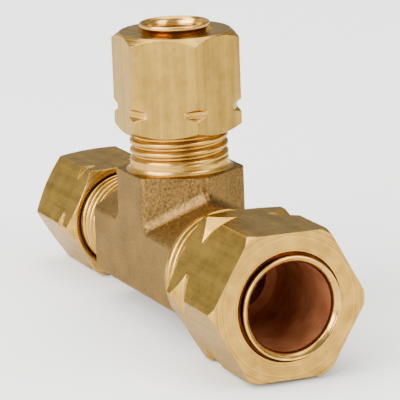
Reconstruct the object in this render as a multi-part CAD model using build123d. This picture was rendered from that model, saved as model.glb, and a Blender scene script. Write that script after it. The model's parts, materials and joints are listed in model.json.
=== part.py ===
from build123d import *
import os
from math import sqrt

# Reducing tee for compression-fitted tube, millimetres.
# Origin: the point where the run axis (X) and the branch axis (Z) cross.
# +X is the large run end, -X the small run end, +Z the small branch end.

# Thread: 24 turns to the inch on every end, a 60 degree form
PITCH = 25.4 / 24
THREAD_DEPTH = 0.6134 * PITCH
THREAD_BORE_CLEARANCE = 0.08
NUT_TRAVEL_IN = 1.25 * PITCH

# Forged body: hexagonal run and hexagonal boss, the same size across flats
BODY_FLATS = 12.7
BOSS_TOP = 9.75
RUN_LEFT = -10.9
RUN_RIGHT = 11.3
BODY_EDGE_ROUND = 0.5
SADDLE_ROUND = 1.0

# Ends of the run and the branch: distance of each nut's outer face from the origin
LARGE_FACE = 27.7
SMALL_RUN_FACE = 28.2
BRANCH_FACE = 25.3

# Turn of each nut about its own axis, degrees, from its hexagon's first corner
LARGE_NUT_TURN = 28.7
SMALL_RUN_NUT_TURN = 27.4
BRANCH_NUT_TURN = -5.6

# Nuts: chamfers are cones, given as drop along the axis per millimetre of radius
OPEN_END_INSET = 0.15
OPEN_END_SLOPE = 0.6
NUT_SHOULDER_GAP = 0.07
NUT_MOUTH_CHAMFER = 0.6
GROOVE_FLOOR = 0.7

# Sleeves and the seats that they close on
TUBE_CLEARANCE = 0.055
SLEEVE_BARREL = 0.7
SLEEVE_SLOPE = 0.4034
SLEEVE_NOSE_WALL = 0.2175
SEAT_GAP = 0.05


class EndSize:
    """All dimensions of one tube end that follow from its nominal tube."""

    def __init__(self, tube, flats, thread, nut_length, lip, lip_out, mouth, hole, socket,
                 shoulder_in, body_end_in, neck, face_corner, face_slope,
                 groove, groove_in, groove_slope):
        self.tube_r = tube / 2
        self.flats = flats
        self.corner_r = flats / sqrt(3)
        self.thread_r = thread / 2
        self.nut_length = nut_length
        self.lip_r = lip / 2
        self.lip_out = lip_out
        self.mouth_r = mouth / 2
        self.hole_r = hole / 2
        self.socket_depth = socket
        self.shoulder_in = shoulder_in
        self.body_end_in = body_end_in
        self.neck = neck
        self.face_corner_r = face_corner / 2
        self.face_slope = face_slope
        self.tail_r = self.hole_r - 0.1
        self.barrel_r = self.thread_r - 1.23
        self.cavity_r = self.thread_r - 0.8
        self.socket_r = self.tube_r + TUBE_CLEARANCE
        self.sleeve_bore_r = self.tube_r + TUBE_CLEARANCE
        self.waterway_r = self.tube_r * 0.74
        self.nose_r = self.tube_r + SLEEVE_NOSE_WALL
        self.groove_r = groove / 2
        self.groove_in = groove_in
        self.groove_slope = groove_slope


LARGE = EndSize(
    9.525, 15.875, 14.288, 12.2, 11.3, 0.83, 12.0, 10.6, 7.9,
    shoulder_in=2.15, body_end_in=5.3, neck=0.4, face_corner=17.5, face_slope=1.7,
    groove=16.3, groove_in=3.5, groove_slope=1.6,
)
SMALL = EndSize(
    6.35, 12.7, 11.112, 11.2, 7.86, 0.94, 8.4, 7.24, 6.3,
    shoulder_in=2.0, body_end_in=5.4, neck=1.15, face_corner=12.4, face_slope=0.75,
    groove=13.42, groove_in=2.7, groove_slope=0.65,
)


def on_run_right(shape):
    """Turns a shape built along +Z so that it points along +X."""
    return Rot(0, 90, 0) * shape


def on_run_left(shape):
    """Turns a shape built along +Z so that it points along -X."""
    return Rot(0, -90, 0) * shape


def turned(*profile):
    """A solid of revolution about Z from (radius, height) points."""
    return revolve(Plane.XZ * make_face(Polyline(*profile, close=True)), Axis.Z)


def hexagon_bar(flats, low, high, turn):
    """A hexagonal bar along Z between two heights, turned about Z in degrees."""
    return Pos(0, 0, low) * extrude(RegularPolygon(flats / 2, 6, major_radius=False, rotation=turn), high - low)


# Heights along an end's own axis, measured outwards from the origin


def shoulder_height(size, face):
    return face - size.shoulder_in


def body_end_height(size, face):
    return face - size.body_end_in


def sleeve_nose_height(size, face):
    back_cone = size.barrel_r - size.tail_r
    nose_cone = (size.barrel_r - size.nose_r) / SLEEVE_SLOPE
    return shoulder_height(size, face) - back_cone - SLEEVE_BARREL - nose_cone


def threaded_stub(size, start, face):
    """Male end: a plain neck, then thread crests, with a chamfered tip."""
    end = body_end_height(size, face)
    root = size.thread_r - THREAD_DEPTH
    stub = Pos(0, 0, start) * Cylinder(
        size.thread_r, end - start, align=(Align.CENTER, Align.CENTER, Align.MIN)
    )
    stub -= turned(
        (root, end), (size.thread_r + 1, end), (size.thread_r + 1, end - THREAD_DEPTH - 1)
    )
    half = PITCH * 0.42
    middle = start + size.neck + half
    while middle < end - half:
        stub -= turned(
            (root, middle - 0.06),
            (root, middle + 0.06),
            (size.thread_r + 0.1, middle + half),
            (size.thread_r + 0.1, middle - half),
        )
        middle += PITCH
    return stub


def tube_passage(size, face):
    """Waterway, tube socket with its stop, and the cone that the sleeve closes on."""
    end = body_end_height(size, face)
    stop = end - size.socket_depth
    tight_nose = sleeve_nose_height(size, face) - NUT_TRAVEL_IN
    seat_start = tight_nose + (size.socket_r - size.nose_r - SEAT_GAP) / SLEEVE_SLOPE
    seat_mouth = size.socket_r + (end + 0.5 - seat_start) * SLEEVE_SLOPE
    return turned(
        (0, 0),
        (size.waterway_r, 0),
        (size.waterway_r, stop),
        (size.socket_r, stop),
        (size.socket_r, seat_start),
        (seat_mouth, end + 0.5),
        (0, end + 0.5),
    )


def run_forging():
    """Hexagonal run with flats at the front and back and a ridge on top."""
    bar = hexagon_bar(BODY_FLATS, RUN_LEFT, RUN_RIGHT, 0)
    return on_run_right(bar)


def is_saddle(edge):
    """True for the edges where the branch boss rises out of the run."""
    middle = edge.position_at(0.5)
    return abs(abs(middle.X) - middle.Z) < 0.01 and 0.1 < middle.Z < BOSS_TOP - 0.1


def is_ridge(edge):
    """True for the long edges of the run and the upright edges of the boss."""
    middle = edge.position_at(0.5)
    along = edge.position_at(1) - edge.position_at(0)
    inside = RUN_LEFT < middle.X < RUN_RIGHT and middle.Z < BOSS_TOP
    return inside and edge.length > 2 and abs(along.Y) < 0.001


def tee_body():
    boss = hexagon_bar(BODY_FLATS, 0, BOSS_TOP, 0)
    body = run_forging() + boss
    body = fillet(body.edges().filter_by(is_saddle), SADDLE_ROUND)
    body = fillet(body.edges().filter_by(is_ridge), BODY_EDGE_ROUND)
    body += on_run_right(threaded_stub(LARGE, RUN_RIGHT, LARGE_FACE))
    body += on_run_left(threaded_stub(SMALL, -RUN_LEFT, SMALL_RUN_FACE))
    body += threaded_stub(SMALL, BOSS_TOP, BRANCH_FACE)
    body -= on_run_right(tube_passage(LARGE, LARGE_FACE))
    body -= on_run_left(tube_passage(SMALL, SMALL_RUN_FACE))
    body -= tube_passage(SMALL, BRANCH_FACE)
    return body


def nut(size, face, turn):
    """Hexagon nut built along Z, its open end towards the origin."""
    low = face - size.nut_length
    far = size.corner_r + 1
    blank = hexagon_bar(size.flats, low, face, turn)
    corner = size.face_corner_r
    blank -= turned((corner, face), (far, face), (far, face - (far - corner) * size.face_slope))
    corner = size.flats / 2 - OPEN_END_INSET
    blank -= turned((corner, low), (far, low), (far, low + (far - corner) * OPEN_END_SLOPE))
    middle = low + size.groove_in
    half = GROOVE_FLOOR / 2
    half_far = half + (far - size.groove_r) * size.groove_slope
    blank -= turned(
        (size.groove_r, middle - half),
        (size.groove_r, middle + half),
        (far, middle + half_far),
        (far, middle - half_far),
    )
    bore_r = size.thread_r + THREAD_BORE_CLEARANCE
    thread_end = body_end_height(size, face) + NUT_TRAVEL_IN + 0.2
    shoulder = shoulder_height(size, face) + NUT_SHOULDER_GAP
    cone_low = shoulder - (size.cavity_r - size.tail_r)
    cone_high = shoulder - (size.hole_r - size.tail_r)
    blank -= turned(
        (0, low),
        (bore_r + NUT_MOUTH_CHAMFER * 0.7, low),
        (bore_r, low + NUT_MOUTH_CHAMFER),
        (bore_r, thread_end),
        (size.cavity_r, thread_end),
        (size.cavity_r, cone_low),
        (size.hole_r, cone_high),
        (size.hole_r, face - (size.mouth_r - size.hole_r)),
        (size.mouth_r, face),
        (0, face),
    )
    return blank


def sleeve(size, face):
    """Captive sleeve: a cone that grips the tube, and a tail flared over the nut's hole."""
    shoulder = shoulder_height(size, face)
    barrel_top = shoulder - (size.barrel_r - size.tail_r)
    lip_end = face + size.lip_out
    bell_r = size.lip_r - 0.3
    return turned(
        (size.sleeve_bore_r, sleeve_nose_height(size, face)),
        (size.nose_r, sleeve_nose_height(size, face)),
        (size.barrel_r, barrel_top - SLEEVE_BARREL),
        (size.barrel_r, barrel_top),
        (size.tail_r, shoulder),
        (size.tail_r, lip_end - 0.95),
        (size.lip_r, lip_end - 0.35),
        (size.lip_r, lip_end),
        (bell_r, lip_end),
        (size.sleeve_bore_r, lip_end - 1.2),
    )


PARTS = {
    "tee_body": tee_body(),
    "large_run_nut": on_run_right(nut(LARGE, LARGE_FACE, LARGE_NUT_TURN)),
    "small_run_nut": on_run_left(nut(SMALL, SMALL_RUN_FACE, SMALL_RUN_NUT_TURN)),
    "branch_nut": nut(SMALL, BRANCH_FACE, BRANCH_NUT_TURN),
    "large_run_sleeve": on_run_right(sleeve(LARGE, LARGE_FACE)),
    "small_run_sleeve": on_run_left(sleeve(SMALL, SMALL_RUN_FACE)),
    "branch_sleeve": sleeve(SMALL, BRANCH_FACE),
}

os.makedirs("parts", exist_ok=True)
for name, shape in PARTS.items():
    export_step(shape, f"parts/{name}.step")
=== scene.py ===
"""Looks of a brass reducing tee for compression-fitted tube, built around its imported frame."""
import bmesh
import bpy
import json
from math import atan2, ceil, cos, floor, pi, radians, sin, sqrt
from mathutils import Matrix, Vector


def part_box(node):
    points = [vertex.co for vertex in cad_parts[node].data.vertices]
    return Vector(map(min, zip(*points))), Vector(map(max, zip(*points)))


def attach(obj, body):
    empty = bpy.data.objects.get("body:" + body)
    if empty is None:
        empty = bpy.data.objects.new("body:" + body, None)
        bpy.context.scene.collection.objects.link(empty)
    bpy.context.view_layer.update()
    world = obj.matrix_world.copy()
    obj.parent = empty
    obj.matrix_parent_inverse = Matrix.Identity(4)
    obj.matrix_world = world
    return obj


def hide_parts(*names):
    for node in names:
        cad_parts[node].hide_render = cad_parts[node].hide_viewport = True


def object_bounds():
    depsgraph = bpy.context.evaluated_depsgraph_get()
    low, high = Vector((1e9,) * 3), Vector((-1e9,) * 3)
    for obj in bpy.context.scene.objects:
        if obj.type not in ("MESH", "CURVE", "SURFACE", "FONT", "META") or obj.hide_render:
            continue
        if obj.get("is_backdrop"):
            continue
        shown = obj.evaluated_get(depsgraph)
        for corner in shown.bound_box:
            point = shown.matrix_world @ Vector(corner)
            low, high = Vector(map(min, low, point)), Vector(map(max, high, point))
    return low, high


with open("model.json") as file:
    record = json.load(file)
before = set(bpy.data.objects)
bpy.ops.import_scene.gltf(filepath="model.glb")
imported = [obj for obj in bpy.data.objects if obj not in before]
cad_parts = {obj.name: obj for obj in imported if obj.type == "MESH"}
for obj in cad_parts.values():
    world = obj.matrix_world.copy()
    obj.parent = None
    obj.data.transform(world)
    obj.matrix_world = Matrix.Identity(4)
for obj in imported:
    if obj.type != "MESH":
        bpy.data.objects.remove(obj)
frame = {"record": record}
cad_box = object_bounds()

MM = 0.001

# Threads: pitch from the screw coupling, 60 degree flanks under a worn, rounded crest.
# Each crest point is its half width in pitches and its drop below the crest.
PITCH = frame["record"]["behaviour"]["couplings"][0]["ratio"] * 2 * pi / MM
THREAD_CREST = ((0.1, 0), (0.18, 0.035), (0.25, 0.13))
THREAD_FOOT = 0.42
THREAD_DEPTH = 0.45 * PITCH
THREAD_STEPS = 72
THREAD_RUNOUT_SLOPE = 1.6
NUT_THREAD_DEPTH = 0.4 * PITCH
NUT_THREAD_GAP = 0.05
NUT_THREAD_SPARE = 0.03
NUT_TRAVEL_IN = 1.25 * PITCH

# Forging
BODY_FLATS = 12.7
BOSS_TOP = 9.75
RUN_LEFT = -10.9
RUN_RIGHT = 11.3
SADDLE_ROUND = 1.0
RIDGE_ROUND = 0.5
FORGING_END_ROUND = 0.15
NECK_ROUND = 0.6
NECK_BITE = 0.015
WATERWAY_SHARE = 0.74

# Nuts: chamfers are cones, given as drop along the axis per millimetre of radius
CORNER_ROUND = 0.15
EDGE_BREAK = 0.06
OPEN_END_INSET = 0.15
OPEN_END_SLOPE = 0.6
MOUTH_CHAMFER = (0.35, 0.9)
GROOVE_FLOOR = 0.7
CAVITY_START = 0.2
CAVITY_WALL = 0.8
SHOULDER_GAP = 0.07

# Sleeves and the seats that they close on
TUBE_CLEARANCE = 0.055
HOLE_CLEARANCE = 0.1
BARREL_CLEARANCE = 1.23
BARREL_LENGTH = 0.7
SLEEVE_SLOPE = 0.4034
NOSE_WALL = 0.2175
SEAT_GAP = 0.05
LIP_ROUND = 0.15
LIP_THICKNESS = 0.4
BELL_DEPTH = 1.2
TAIL_END = 0.95
TAIL_BEND = (0.12, 0.7)
GOLD_LIMIT = 3.0

# How far a cutting or joining shape runs past the face that it meets, so that no two faces coincide
OVERRUN = 0.5

# Faces that meet at less than this many degrees are shaded as one round surface
SMOOTH_ANGLE = 32

# Where the floor touches each run nut, measured in from the nut's end
FLOOR_CONTACT = 0.7


class End:
    """One tube end: its direction, where its faces stand, and what follows from its tube size.
    Heights are measured along the end's own axis, outwards from the crossing of the axes."""

    def __init__(self, name, turn_y, axis, hexagon_turn, crest_height, start, neck, size):
        self.name = name
        self.turn_y = turn_y
        self.to_row = Matrix.Rotation(radians(turn_y), 4, "Y")
        low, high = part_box(f"{name}_nut")
        reach = (low.dot(axis) / MM, high.dot(axis) / MM)
        self.nut_low = min(reach)
        self.face = max(reach)
        self.hexagon_turn = radians(hexagon_turn)
        self.crest_height = crest_height
        self.start = start
        self.neck = neck
        for key, value in size.items():
            setattr(self, key, value)
        self.corner_r = self.flats / sqrt(3)
        self.root_r = self.thread_r - THREAD_DEPTH
        self.end = self.face - self.body_end_in
        self.shoulder = self.face - self.shoulder_in
        self.tail_r = self.hole_r - HOLE_CLEARANCE
        self.barrel_r = self.thread_r - BARREL_CLEARANCE
        self.cavity_r = self.thread_r - CAVITY_WALL
        self.bore_r = self.tube_r + TUBE_CLEARANCE
        self.nose_r = self.tube_r + NOSE_WALL
        self.waterway_r = self.tube_r * WATERWAY_SHARE
        self.barrel_high = self.shoulder - (self.barrel_r - self.tail_r)
        self.barrel_low = self.barrel_high - BARREL_LENGTH
        self.nose = self.barrel_low - (self.barrel_r - self.nose_r) / SLEEVE_SLOPE
        self.lip_end = self.face + self.lip_out


LARGE = dict(tube_r=4.7625, flats=15.875, thread_r=7.144, lip_r=5.65, lip_out=0.83, mouth_r=6.0,
             hole_r=5.3, socket_depth=7.9, shoulder_in=2.15, body_end_in=5.3,
             face_corner_r=8.75, face_slope=1.7, groove_r=8.15, groove_in=3.5, groove_slope=1.6)
SMALL = dict(tube_r=3.175, flats=12.7, thread_r=5.556, lip_r=3.93, lip_out=0.94, mouth_r=4.2,
             hole_r=3.62, socket_depth=6.3, shoulder_in=2.0, body_end_in=5.4,
             face_corner_r=6.2, face_slope=0.75, groove_r=6.71, groove_in=2.7, groove_slope=0.65)

# The last size entry gives how far inside its lip a sleeve's gold gives way to the red-brown of its bore,
# which is painted shade deep in the bore
large_run = End("large_run", 90, Vector((1, 0, 0)), 28.7, 14.2, RUN_RIGHT, 0.4,
                dict(LARGE, stain_in=0.9))
small_run = End("small_run", -90, Vector((-1, 0, 0)), 27.4, 14.0, -RUN_LEFT, 1.15,
                dict(SMALL, stain_in=0.9))
branch = End("branch", 0, Vector((0, 0, 1)), -5.6, 13.28, BOSS_TOP, 1.15,
             dict(SMALL, stain_in=GOLD_LIMIT))
ENDS = (large_run, small_run, branch)


# Mesh helpers, all in millimetres along +Z until a piece is put in its place


def finish_mesh(bm):
    """Merges doubles and turns all faces outwards."""
    bmesh.ops.remove_doubles(bm, verts=bm.verts, dist=0.0005)
    bmesh.ops.recalc_face_normals(bm, faces=bm.faces)
    return bm


def whole(bm):
    return bm.verts[:] + bm.edges[:] + bm.faces[:]


def spun(points, steps=96):
    """A closed outline of (radius, height) points turned once about Z."""
    bm = bmesh.new()
    verts = [bm.verts.new((radius, 0, height)) for radius, height in points]
    edges = [bm.edges.new((verts[i - 1], verts[i])) for i in range(len(verts))]
    bmesh.ops.spin(bm, geom=verts + edges, cent=(0, 0, 0), axis=(0, 0, 1), angle=2 * pi,
                   steps=steps, use_merge=True)
    return finish_mesh(bm)


def arc(centre, radius, start, stop, count=6):
    """Points of a round stretch of an outline, angles in degrees from the radius direction."""
    angles = [radians(start + (stop - start) * i / count) for i in range(count + 1)]
    return [(centre[0] + radius * cos(a), centre[1] + radius * sin(a)) for a in angles]


def hexagon_bar(corner_r, low, high, turn):
    """A hexagonal bar between two heights, its first corner at an azimuth."""
    bm = bmesh.new()
    bmesh.ops.create_circle(bm, cap_ends=True, segments=6, radius=corner_r)
    # create_circle puts its first corner on +Y
    bmesh.ops.rotate(bm, verts=bm.verts, matrix=Matrix.Rotation(turn - pi / 2, 3, "Z"))
    bmesh.ops.translate(bm, verts=bm.verts, vec=(0, 0, low))
    top = bmesh.ops.extrude_face_region(bm, geom=bm.faces[:], use_keep_orig=True)["geom"]
    bmesh.ops.translate(bm, verts=[g for g in top if isinstance(g, bmesh.types.BMVert)],
                        vec=(0, 0, high - low))
    return finish_mesh(bm)


def bevel(bm, edges, size, segments):
    bmesh.ops.bevel(bm, geom=edges, offset=size, offset_type="OFFSET", segments=segments,
                    profile=0.5, affect="EDGES", material=-1, clamp_overlap=True)


def cut_flat(bm, height, keep):
    """Cuts the mesh off at a height, keeps the part above (1) or below (-1), and closes it."""
    result = bmesh.ops.bisect_plane(bm, geom=whole(bm), dist=1e-6, plane_co=(0, 0, height),
                                    plane_no=(0, 0, -keep), clear_outer=True)
    rim = [g for g in result["geom_cut"] if isinstance(g, bmesh.types.BMEdge)]
    bmesh.ops.edgeloop_fill(bm, edges=rim)


def threaded_rod(crest_r, root_r, spare, crest_height, low, high):
    """A rod with a right-hand thread, whose crest passes azimuth 0 at crest_height.
    Spare widens each side of the crest, as a tap needs."""
    bm = bmesh.new()
    side = [(crest_r - drop, half * PITCH + spare) for half, drop in THREAD_CREST]
    side.append((root_r, THREAD_FOOT * PITCH))
    profile = [(radius, -offset) for radius, offset in reversed(side)] + side
    first = floor((low - crest_height) / PITCH) - 2
    last = ceil((high - crest_height) / PITCH) + 2
    verts = []
    for turn in range(first, last):
        middle = crest_height + turn * PITCH
        verts += [bm.verts.new((radius, 0, middle + offset)) for radius, offset in profile]
    edges = [bm.edges.new(pair) for pair in zip(verts, verts[1:])]
    bmesh.ops.spin(bm, geom=verts + edges, cent=(0, 0, 0), axis=(0, 0, 1), angle=2 * pi,
                   dvec=(0, 0, PITCH / THREAD_STEPS), steps=THREAD_STEPS, use_merge=False)
    bmesh.ops.remove_doubles(bm, verts=bm.verts, dist=0.001)
    cut_flat(bm, low, 1)
    cut_flat(bm, high, -1)
    return finish_mesh(bm)


def limit_radius(bm, smallest, largest):
    """Moves each vertex so that its radius lies between two functions of its height."""
    for vert in bm.verts:
        radius = vert.co.xy.length
        if radius > 0.01:
            wanted = min(max(radius, smallest(vert.co.z)), largest(vert.co.z))
            vert.co.xy *= wanted / radius


def as_piece(name, bm, material, to_row=None):
    """Makes an object in metres from a mesh in millimetres, turned to its end of the tee."""
    if to_row is not None:
        bmesh.ops.transform(bm, matrix=to_row, verts=bm.verts)
    bmesh.ops.scale(bm, vec=(MM, MM, MM), verts=bm.verts)
    mesh = bpy.data.meshes.new(name)
    bm.to_mesh(mesh)
    bm.free()
    mesh.materials.append(material)
    piece = bpy.data.objects.new(name, mesh)
    bpy.context.scene.collection.objects.link(piece)
    return piece


def apply_modifiers(piece):
    """Puts a piece's modifiers into its mesh."""
    graph = bpy.context.evaluated_depsgraph_get()
    mesh = bpy.data.meshes.new_from_object(piece.evaluated_get(graph))
    piece.modifiers.clear()
    old = piece.data
    piece.data = mesh
    mesh.name = piece.name
    bpy.data.meshes.remove(old)


def combine(piece, other, operation):
    """Joins another solid to a piece, or cuts it out of it, and deletes the other."""
    modifier = piece.modifiers.new(operation.lower(), "BOOLEAN")
    modifier.operation = operation
    modifier.solver = "EXACT"
    modifier.material_mode = "TRANSFER"
    modifier.object = other
    apply_modifiers(piece)
    bpy.data.objects.remove(other)


def break_edges(piece, width, angle):
    """Takes the burr off every edge sharper than an angle."""
    modifier = piece.modifiers.new("edges", "BEVEL")
    modifier.width = width * MM
    modifier.segments = 2
    modifier.limit_method = "ANGLE"
    modifier.angle_limit = radians(angle)
    apply_modifiers(piece)


def shade(piece):
    """Smooth where faces meet at less than SMOOTH_ANGLE, with flats kept flat."""
    piece.data.shade_smooth()
    piece.data.set_sharp_from_angle(angle=radians(SMOOTH_ANGLE))
    modifier = piece.modifiers.new("flat faces", "WEIGHTED_NORMAL")
    modifier.keep_sharp = True


# The tee


def forging():
    """Hexagonal run with a ridge on top, and the hexagonal boss that rises out of it."""
    bm = hexagon_bar(BODY_FLATS / sqrt(3), RUN_LEFT, RUN_RIGHT, 0)
    bmesh.ops.rotate(bm, verts=bm.verts, matrix=Matrix.Rotation(pi / 2, 3, "Y"))

    # The run and the boss are the same hexagon, so they meet where x = z and x = -z
    for side in (1, -1):
        bmesh.ops.bisect_plane(bm, geom=whole(bm), dist=1e-6, plane_co=(0, 0, 0),
                               plane_no=(side, 0, -1))

    def under_boss(face):
        middle = face.calc_center_median()
        return face.normal.z > 0.3 and abs(middle.x) < middle.z

    bmesh.ops.delete(bm, geom=[f for f in bm.faces if under_boss(f)], context="FACES")
    rim = [e for e in bm.edges if e.is_boundary]
    grown = bmesh.ops.extrude_edge_only(bm, edges=rim)["geom"]
    for vert in [g for g in grown if isinstance(g, bmesh.types.BMVert)]:
        vert.co.z = BOSS_TOP
    bmesh.ops.edgeloop_fill(bm, edges=[e for e in bm.edges if e.is_boundary])
    finish_mesh(bm)
    bmesh.ops.dissolve_limit(bm, angle_limit=radians(1), verts=bm.verts, edges=bm.edges)
    saddle = [e for e in bm.edges if not e.is_convex and e.calc_face_angle(0) > 0.3]
    bevel(bm, saddle, SADDLE_ROUND, 6)

    def at_an_end(edge):
        places = [v.co for v in edge.verts]
        return any(all(abs(p[axis] - end) < 0.001 for p in places)
                   for axis, end in ((0, RUN_LEFT), (0, RUN_RIGHT), (2, BOSS_TOP)))

    def corners():
        return [e for e in bm.edges if e.is_convex and e.calc_face_angle(0) > 0.6]

    bevel(bm, [e for e in corners() if not at_an_end(e)], RIDGE_ROUND, 4)
    bevel(bm, [e for e in corners() if at_an_end(e)], FORGING_END_ROUND, 2)
    return finish_mesh(bm)


def threaded_stub(end):
    """Male thread that runs out into a plain neck, with a chamfered tip. It starts inside the
    forging, so that the two join cleanly, but the large one is wider than the forging's flats
    and would stand out of them, so it starts only just inside."""
    runout = end.start + end.neck
    tuck = OVERRUN if end.thread_r < BODY_FLATS / 2 else 0.05
    bm = threaded_rod(end.thread_r, end.root_r, 0, end.crest_height, end.start - tuck, end.end)
    limit_radius(bm, lambda z: end.thread_r - max(0, z - runout) * THREAD_RUNOUT_SLOPE,
                 lambda z: end.root_r + (end.end - z))
    return bm


def neck_collar(end):
    """The round at the foot of a neck. It bites a little into the neck and the forging."""
    top = end.start + NECK_ROUND
    low = end.start - NECK_ROUND
    cap = top + 0.1
    foot = arc((end.thread_r + NECK_ROUND - NECK_BITE, top), NECK_ROUND, 265, 178)
    return spun([(0, low), (foot[0][0], low)] + foot + [(end.root_r - 0.2, cap), (0, cap)],
                steps=THREAD_STEPS)


def tube_passage(end):
    """Waterway, tube socket with its stop, and the cone that the sleeve closes on."""
    stop = end.end - end.socket_depth
    seat = end.nose - NUT_TRAVEL_IN + (end.bore_r - end.nose_r - SEAT_GAP) / SLEEVE_SLOPE
    outside = end.end + OVERRUN
    mouth_r = end.bore_r + (outside - seat) * SLEEVE_SLOPE
    return spun([(0, -1), (end.waterway_r, -1), (end.waterway_r, stop), (end.bore_r, stop),
                 (end.bore_r, seat), (mouth_r, outside), (0, outside)])


def machined_tee():
    tee = as_piece("machined_tee", forging(), FORGED)
    for end in ENDS:
        combine(tee, as_piece("stub", threaded_stub(end), end.turned, end.to_row), "UNION")
        if end is not large_run:
            combine(tee, as_piece("collar", neck_collar(end), end.turned, end.to_row), "UNION")
    for end in ENDS:
        combine(tee, as_piece("passage", tube_passage(end), end.bored, end.to_row), "DIFFERENCE")
    shade(tee)
    return tee


# Nuts


def nut_envelope(end):
    """What the lathe leaves of the hexagon bar: end chamfers, the groove and the bored hole."""
    far = end.corner_r + 1
    open_r = end.flats / 2 - OPEN_END_INSET
    groove = end.nut_low + end.groove_in
    half = GROOVE_FLOOR / 2
    half_far = half + (far - end.groove_r) * end.groove_slope
    minor_r = end.thread_r - NUT_THREAD_DEPTH + NUT_THREAD_GAP
    cavity_low = end.end + NUT_TRAVEL_IN + CAVITY_START
    shoulder = end.shoulder + SHOULDER_GAP
    return spun([
        # outside, from the open end to the face
        (end.thread_r + MOUTH_CHAMFER[0], end.nut_low), (open_r, end.nut_low),
        (far, end.nut_low + (far - open_r) * OPEN_END_SLOPE), (far, groove - half_far),
        (end.groove_r, groove - half), (end.groove_r, groove + half), (far, groove + half_far),
        (far, end.face - (far - end.face_corner_r) * end.face_slope), (end.face_corner_r, end.face),
        # inside, from the face back to the open end
        (end.mouth_r, end.face), (end.hole_r, end.face - (end.mouth_r - end.hole_r)),
        (end.hole_r, shoulder - (end.hole_r - end.tail_r)),
        (end.cavity_r, shoulder - (end.cavity_r - end.tail_r)), (end.cavity_r, cavity_low),
        (minor_r, cavity_low), (minor_r, end.nut_low + MOUTH_CHAMFER[1]),
    ])


def hexagon_nut(end):
    """A nut from hexagon bar, turned, broken at its edges and tapped."""
    bar = hexagon_bar(end.corner_r, end.nut_low, end.face, end.hexagon_turn)
    upright = [e for e in bar.edges if abs(e.verts[0].co.z - e.verts[1].co.z) > 1]
    bevel(bar, upright, CORNER_ROUND, 3)
    nut = as_piece(f"{end.name}_hexagon_nut", bar, end.drawn, end.to_row)
    combine(nut, as_piece("envelope", nut_envelope(end), end.turned, end.to_row), "INTERSECT")
    break_edges(nut, EDGE_BREAK, 20)
    tap = threaded_rod(end.thread_r + NUT_THREAD_GAP, end.root_r, NUT_THREAD_SPARE, end.crest_height,
                       end.nut_low - OVERRUN, end.end + NUT_TRAVEL_IN + CAVITY_START / 2)
    combine(nut, as_piece("tap", tap, end.turned, end.to_row), "DIFFERENCE")
    shade(nut)
    return nut


# Sleeves


def captive_sleeve(end):
    """Grips the tube with its cone; its tail is flared over the nut's hole into a bell mouth."""
    lip_end = end.lip_end
    flare = end.lip_r - 2 * LIP_ROUND - end.bore_r
    bell_turns = [radians(degrees) for degrees in range(75, -1, -15)]
    bell = [(end.bore_r + flare * (1 - cos(t)), lip_end - BELL_DEPTH + (BELL_DEPTH - LIP_ROUND) * sin(t))
            for t in bell_turns]
    bm = spun([
        (end.bore_r, end.nose), (end.nose_r, end.nose), (end.barrel_r, end.barrel_low),
        (end.barrel_r, end.barrel_high), (end.tail_r, end.shoulder), (end.tail_r, lip_end - TAIL_END),
        (end.tail_r + TAIL_BEND[0], lip_end - TAIL_BEND[1]), (end.lip_r, lip_end - LIP_THICKNESS),
        *arc((end.lip_r - LIP_ROUND, lip_end - LIP_ROUND), LIP_ROUND, 0, 150, 5), *bell,
        (end.bore_r, lip_end - GOLD_LIMIT),
    ], steps=128)
    # Bore faces deeper than that get the red-brown painted shade
    for face in bm.faces:
        middle = face.calc_center_median()
        faces_tube = face.normal.to_2d().dot(middle.xy) < 0
        if faces_tube and middle.z < lip_end - end.stain_in:
            face.material_index = 1
    sleeve = as_piece(f"{end.name}_captive_sleeve", bm, end.bright, end.to_row)
    sleeve.data.materials.append(end.bored)
    shade(sleeve)
    return sleeve


# Materials


def linear(hex_colour):
    """sRGB hex to linear colour."""
    parts = [int(hex_colour[i:i + 2], 16) / 255 for i in (1, 3, 5)]
    return [*(c / 12.92 if c <= 0.04045 else ((c + 0.055) / 1.055) ** 2.4 for c in parts), 1]


def add(tree, kind, settings=None, **inputs):
    """Adds a shader node with its settings. An input is a value or another node's output, and
    an underscore and a number stand for an input that has no name of its own."""
    node = tree.nodes.new(f"ShaderNode{kind}")
    for key, value in (settings or {}).items():
        setattr(node, key, value)
    for key, value in inputs.items():
        socket = node.inputs[int(key[1:])] if key[1:].isdigit() else node.inputs[key.replace("_", " ")]
        if isinstance(value, bpy.types.NodeSocket):
            tree.links.new(value, socket)
        else:
            socket.default_value = value
    return node


# Tarnish keeps brass from turning white where it is seen at a low angle
EDGE_TINT = "#E8DFCC"


def new_metal(name, colours, roughness):
    """A metal whose colour and roughness run between two values; returns what its pattern drives."""
    material = bpy.data.materials.new(name)
    material.use_nodes = True
    tree = material.node_tree
    tree.nodes.clear()
    shader = add(tree, "BsdfPrincipled", Metallic=1.0, Specular_Tint=linear(EDGE_TINT))
    add(tree, "OutputMaterial", Surface=shader.outputs["BSDF"])
    tint = add(tree, "ValToRGB")
    for stop, colour in zip(tint.color_ramp.elements, colours):
        stop.color = linear(colour)
    tree.links.new(tint.outputs["Color"], shader.inputs["Base Color"])
    shine = add(tree, "MapRange", To_Min=roughness[0], To_Max=roughness[1])
    tree.links.new(shine.outputs["Result"], shader.inputs["Roughness"])
    return material, tree, shader, tint, shine


def axis_coordinates(tree, turn_y):
    """Object coordinates in millimetres, turned so that the piece's own axis is Z."""
    place = add(tree, "TexCoord")
    return add(tree, "Mapping", {"vector_type": "POINT"}, Vector=place.outputs["Object"],
               Rotation=(0, radians(-turn_y), 0), Scale=(1 / MM, 1 / MM, 1 / MM)).outputs["Vector"]


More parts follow.
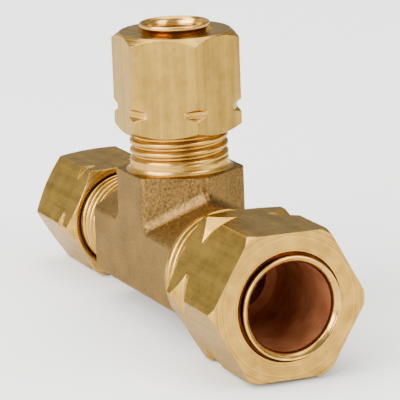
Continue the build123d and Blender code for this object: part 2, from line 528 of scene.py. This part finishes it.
def pattern(tree, vector, size, detail, stretch=(1, 1, 1), low=0.3, high=0.7):
    """Noise with features of a real size in millimetres, spread to run from 0 to 1."""
    stretched = add(tree, "Mapping", Vector=vector, Scale=stretch)
    noise = add(tree, "TexNoise", Vector=stretched.outputs["Vector"], Scale=1 / size, Detail=detail)
    return add(tree, "MapRange", Value=noise.outputs["Fac"], From_Min=low, From_Max=high).outputs["Result"]


def mixed(tree, first, second, share):
    """Two patterns added in shares; share is the second one's."""
    scaled = add(tree, "Math", {"operation": "MULTIPLY"}, _0=second, _1=share)
    return add(tree, "Math", {"operation": "MULTIPLY_ADD"}, _0=first, _1=1 - share,
               _2=scaled.outputs["Value"]).outputs["Value"]


def add_relief(tree, shader, height, depth):
    """Bump whose full height is a real depth in millimetres."""
    bump = add(tree, "Bump", Height=height, Strength=1.0, Distance=depth * MM)
    tree.links.new(bump.outputs["Normal"], shader.inputs["Normal"])


def forged_brass():
    """Hot-forged brass, blasted clean: a dull gold skin with a fine dark grain and a soft blotchy
    oxide. The blast grain is about 0.1 mm, drawn at 0.3 mm so that it shows."""
    material, tree, shader, tint, shine = new_metal("forged_brass", ("#433218", "#8A6A3A"), (0.36, 0.52))
    place = axis_coordinates(tree, 0)
    grain = pattern(tree, place, 0.3, 4)
    blotches = pattern(tree, place, 3.5, 2)
    tree.links.new(mixed(tree, grain, blotches, 0.3), tint.inputs["Fac"])
    tree.links.new(grain, shine.inputs["Value"])
    add_relief(tree, shader, grain, 0.03)
    return material


def drawn_brass(name, turn_y):
    """Cold-drawn brass bar: olive gold flats with soft die streaks along the bar, cloudy handling
    marks and small dark dings. Die lines are under 0.1 mm wide, drawn at 0.3 mm."""
    material, tree, shader, tint, shine = new_metal(name, ("#523E18", "#AE8A3E"), (0.22, 0.34))
    place = axis_coordinates(tree, turn_y)
    wide = pattern(tree, place, 1.1, 1, stretch=(1, 1, 0.05), low=0.36, high=0.64)
    fine = pattern(tree, place, 0.3, 2, stretch=(1, 1, 0.04), low=0.36, high=0.64)
    clouds = pattern(tree, place, 1.8, 5)
    dings = pattern(tree, place, 0.35, 4, low=0.27, high=0.33)
    streaks = mixed(tree, wide, fine, 0.3)
    tone = mixed(tree, streaks, clouds, 0.5)
    tree.links.new(mixed(tree, tone, dings, 0.35), tint.inputs["Fac"])
    tree.links.new(mixed(tree, clouds, fine, 0.3), shine.inputs["Value"])
    add_relief(tree, shader, mixed(tree, dings, fine, 0.2), 0.006)
    return material


def lathe_lines(tree, turn_y, feed):
    """Rings round the axis that change with radius and height, as a cutting tool leaves them."""
    place = axis_coordinates(tree, turn_y)
    split = add(tree, "SeparateXYZ", Vector=place)
    across = add(tree, "CombineXYZ", X=split.outputs["X"], Y=split.outputs["Y"])
    radius = add(tree, "VectorMath", {"operation": "LENGTH"}, _0=across.outputs["Vector"])
    waver = pattern(tree, place, 4, 1)
    bent = add(tree, "Math", {"operation": "MULTIPLY_ADD"}, _0=waver, _1=0.12, _2=radius.outputs["Value"])
    ring = add(tree, "CombineXYZ", X=bent.outputs["Value"], Z=split.outputs["Z"])
    return place, pattern(tree, ring.outputs["Vector"], feed, 3)


def turned_brass(name, turn_y, colours=("#8C682A", "#CCA04C"), roughness=(0.2, 0.36)):
    """Brass turned on a lathe: pale bright gold with fine rings round its axis and faint stains.
    The feed is about 0.1 mm, drawn at 0.22 mm."""
    material, tree, shader, tint, shine = new_metal(name, colours, roughness)
    place, rings = lathe_lines(tree, turn_y, 0.22)
    stains = pattern(tree, place, 1.6, 4)
    tree.links.new(mixed(tree, rings, stains, 0.5), tint.inputs["Fac"])
    tree.links.new(rings, shine.inputs["Value"])
    add_relief(tree, shader, rings, 0.01)
    return material


def bore_shade_brass(name, turn_y):
    """Brass bored, with painted shade: the dim, reddened light deep in a brass bore is painted into
    its colour as red-brown, dull and half metallic, with coarse drill rings."""
    material, tree, shader, tint, shine = new_metal(name, ("#84462A", "#BC7E52"), (0.34, 0.5))
    shader.inputs["Metallic"].default_value = 0.5
    place, rings = lathe_lines(tree, turn_y, 0.4)
    stains = pattern(tree, place, 2.2, 3)
    tree.links.new(mixed(tree, rings, stains, 0.6), tint.inputs["Fac"])
    tree.links.new(rings, shine.inputs["Value"])
    add_relief(tree, shader, rings, 0.012)
    return material


FORGED = forged_brass()

# Streaks and rings follow an end's axis, so both run ends share their finishes
for end, direction in ((large_run, "run"), (branch, "branch")):
    end.drawn = drawn_brass(f"drawn_brass_{direction}", end.turn_y)
    end.turned = turned_brass(f"turned_brass_{direction}", end.turn_y)
    end.bright = turned_brass(f"sleeve_brass_{direction}", end.turn_y, ("#9C7230", "#DCB262"), (0.16, 0.28))
    # The bores' red-brown is painted shade: the dim, reddened light deep inside a brass hole
    end.bored = bore_shade_brass(f"bored_brass_{direction}", end.turn_y)
for finish in ("drawn", "turned", "bright", "bored"):
    setattr(small_run, finish, getattr(large_run, finish))


# Pieces on their bodies


def dress(piece, body, node):
    """Puts a piece on its body in place of a plain solid."""
    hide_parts(node)
    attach(piece, body)


dress(machined_tee(), "tee", "tee_body")
for end in ENDS:
    dress(hexagon_nut(end), f"{end.name}_nut", f"{end.name}_nut")
    dress(captive_sleeve(end), f"{end.name}_sleeve", f"{end.name}_sleeve")


# Floor, light and camera


def resting_floor():
    """A pale floor that both run nuts touch: the large one near its open end, the small one near
    its face. The nuts differ in size, so the floor is tilted under a level run."""
    contacts = []
    for nut in ("large_run_nut", "small_run_nut"):
        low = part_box(nut)[0]
        contacts.append(Vector((low.x + FLOOR_CONTACT * MM, 0, low.z)))
    front, back = contacts
    run = front - back
    turn = Matrix.Rotation(-atan2(run.z, run.x), 4, "Y")
    bm = bmesh.new()
    bmesh.ops.create_grid(bm, x_segments=1, y_segments=1, size=1.5,
                          matrix=Matrix.Translation(front) @ turn)
    mesh = bpy.data.meshes.new("floor")
    bm.to_mesh(mesh)
    bm.free()
    floor_sheet = bpy.data.objects.new("floor", mesh)
    bpy.context.scene.collection.objects.link(floor_sheet)
    material = bpy.data.materials.new("pale_floor")
    material.use_nodes = True
    shader = material.node_tree.nodes["Principled BSDF"]
    shader.inputs["Base Color"].default_value = linear("#F4F4F2")
    shader.inputs["Roughness"].default_value = 0.9
    mesh.materials.append(material)
    floor_sheet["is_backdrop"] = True


def softbox(name, place, size, power):
    """A rectangular lamp that faces the tee."""
    light = bpy.data.lights.new(name, "AREA")
    light.shape = "RECTANGLE"
    light.size, light.size_y = size
    light.energy = power
    lamp = bpy.data.objects.new(name, light)
    bpy.context.scene.collection.objects.link(lamp)
    lamp.location = place
    lamp.rotation_euler = (-Vector(place)).to_track_quat("-Z", "Y").to_euler()


def studio():
    """White surroundings and five soft lamps. Left is the side that the body's -Y flat faces."""
    world = bpy.data.worlds.new("studio")
    world.use_nodes = True
    background = world.node_tree.nodes["Background"]
    background.inputs["Color"].default_value = (1, 1, 1, 1)
    background.inputs["Strength"].default_value = 0.6
    bpy.context.scene.world = world
    softbox("overhead", (-0.15, 0.1, 1.1), (1.3, 1.3), 24)
    softbox("left", (0.25, -0.8, 0.3), (0.9, 0.4), 17)
    softbox("upper_left", (-0.05, -0.7, 0.75), (0.6, 0.5), 10)
    softbox("back", (-0.95, -0.25, 0.4), (1.2, 0.6), 1.3)
    softbox("front_right", (0.75, 0.4, 0.4), (0.5, 0.4), 8)


def camera():
    """Looks at the large run end from its left and a little above."""
    azimuth = -23.598
    elevation = 13.877
    roll = -2.144
    distance = 316.754 * MM
    aim = Vector((-0.11, 2.173, 3.927)) * MM
    turn = (Matrix.Rotation(radians(azimuth + 90), 4, "Z")
            @ Matrix.Rotation(radians(90 - elevation), 4, "X")
            @ Matrix.Rotation(radians(roll), 4, "Z"))
    data = bpy.data.cameras.new("camera")
    data.sensor_width = 36
    data.lens = 251.53
    data.shift_x = 0.00261
    data.shift_y = 0.03342
    data.clip_start = 0.01
    eye = bpy.data.objects.new("camera", data)
    bpy.context.scene.collection.objects.link(eye)
    eye.matrix_world = Matrix.Translation(aim) @ turn @ Matrix.Translation((0, 0, distance))
    bpy.context.scene.camera = eye


resting_floor()
studio()
camera()

[[list(corner) for corner in box] for box in (cad_box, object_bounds())]
